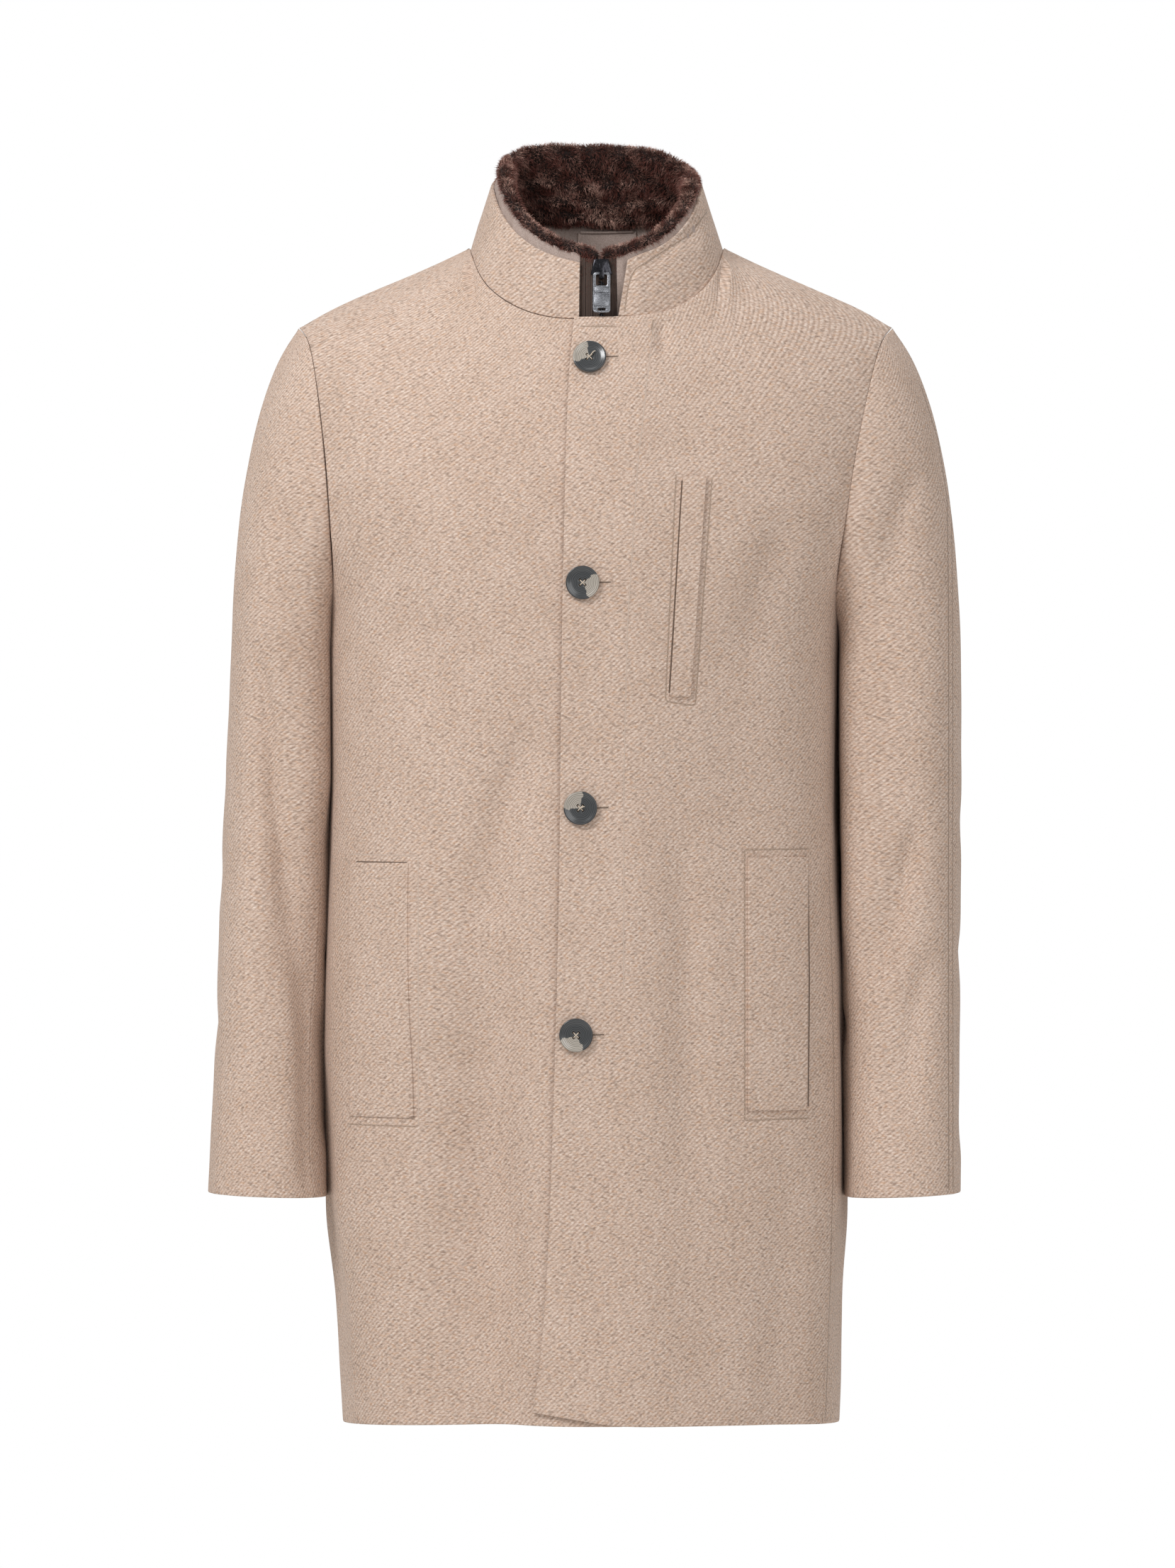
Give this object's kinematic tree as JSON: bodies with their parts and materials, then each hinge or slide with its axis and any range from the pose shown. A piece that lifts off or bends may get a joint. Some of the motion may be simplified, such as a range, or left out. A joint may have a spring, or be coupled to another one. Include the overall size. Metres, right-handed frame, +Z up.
{
  "type": "winter coat",
  "caption": "Thigh-length single-breasted wool coat with stand collar, zip-in fur neck insert, buttoned front, welt pockets and two-piece sleeves, hollow and filled out as worn.",
  "frame": {"origin": "midway between the wearer's side neck points, where the shoulders carry the coat", "axes": "+X to the wearer's left, -Y out of the coat's front, +Z up"},
  "size_m": [0.5736, 0.2931, 0.9754],
  "materials": {
    "wool": "brushed beige twill with paler and darker flecks",
    "fur": "dark brown pile with paler tips",
    "insert_cloth": "matt taupe",
    "tape": "dark brown woven tape",
    "gunmetal": "dark satin",
    "old_silver": "antique satin",
    "horn": "two-tone horn effect, polished",
    "patch": "plain woven patch"
  },
  "bodies": {
    "coat": {"front_left": "wool", "front_right": "wool", "back_left": "wool", "back_right": "wool", "sleeve_front_left": "wool", "sleeve_back_left": "wool", "sleeve_front_right": "wool", "sleeve_back_right": "wool", "collar": "wool", "insert_left": "insert_cloth", "insert_right": "insert_cloth", "insert_back": "insert_cloth", "fur_collar": "fur", "neck_patch": "patch", "zip_tape_left": "tape", "zip_tape_right": "tape", "zip_slider": "gunmetal", "button_1": "horn", "button_2": "horn", "button_3": "horn", "button_4": "horn", "chest_welt": "wool", "hand_welt_left": "wool", "hand_welt_right": "wool"},
    "pull": {"zip_pull": "old_silver"}
  },
  "joints": [
    {"name": "zip_pull_swing", "type": "hinge", "parent": "coat", "child": "pull", "pos_m": [0.00357, -0.10394, -0.02237], "axis": [-1, 0, 0], "range_deg": [0, 140]}
  ]
}
